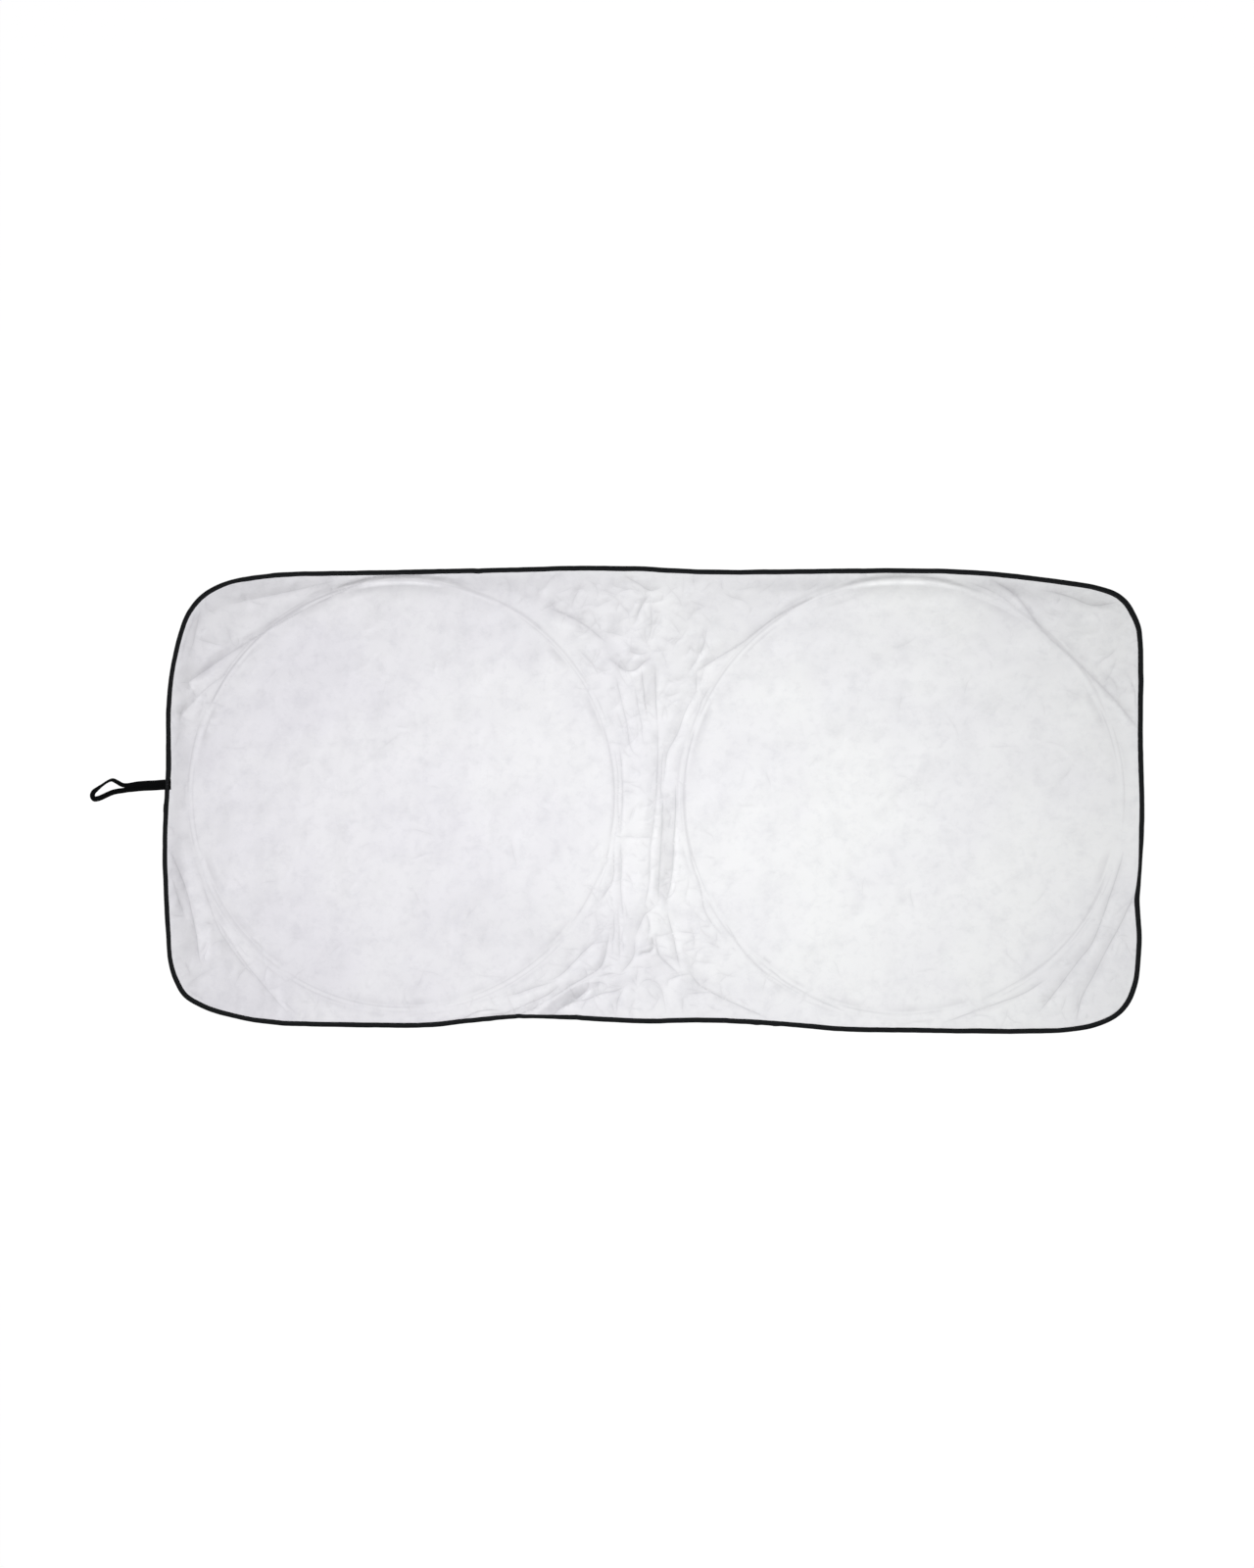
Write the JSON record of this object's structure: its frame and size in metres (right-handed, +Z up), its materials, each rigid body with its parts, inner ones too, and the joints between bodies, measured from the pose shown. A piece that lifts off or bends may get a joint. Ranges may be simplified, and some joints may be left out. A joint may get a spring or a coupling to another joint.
{
  "type": "windscreen sunshade",
  "caption": "Folding windscreen sunshade: two cloth panels over spring hoops, with a black edge binding and a tape loop that holds it folded.",
  "frame": {"origin": "middle of the rear panel's underside, on the surface that the opened shade lies on", "axes": "+X along the shade, away from the strap loop; +Y across it; +Z up, out of the front panel"},
  "size_m": [1.6149, 0.7108, 0.0185],
  "materials": {
    "cloth": "matt white spun-bonded cloth",
    "black_tape": "black woven tape",
    "spring_steel": "plain rolled spring steel",
    "sleeve_steel": "zinc-plated steel"
  },
  "bodies": {
    "root": {"rear_panel": "cloth", "front_panel": "cloth", "left_hoop": "spring_steel", "right_hoop": "spring_steel", "left_hoop_sleeve": "sleeve_steel", "right_hoop_sleeve": "sleeve_steel", "edge_binding": "black_tape", "strap_loop": "black_tape"}
  },
  "joints": []
}
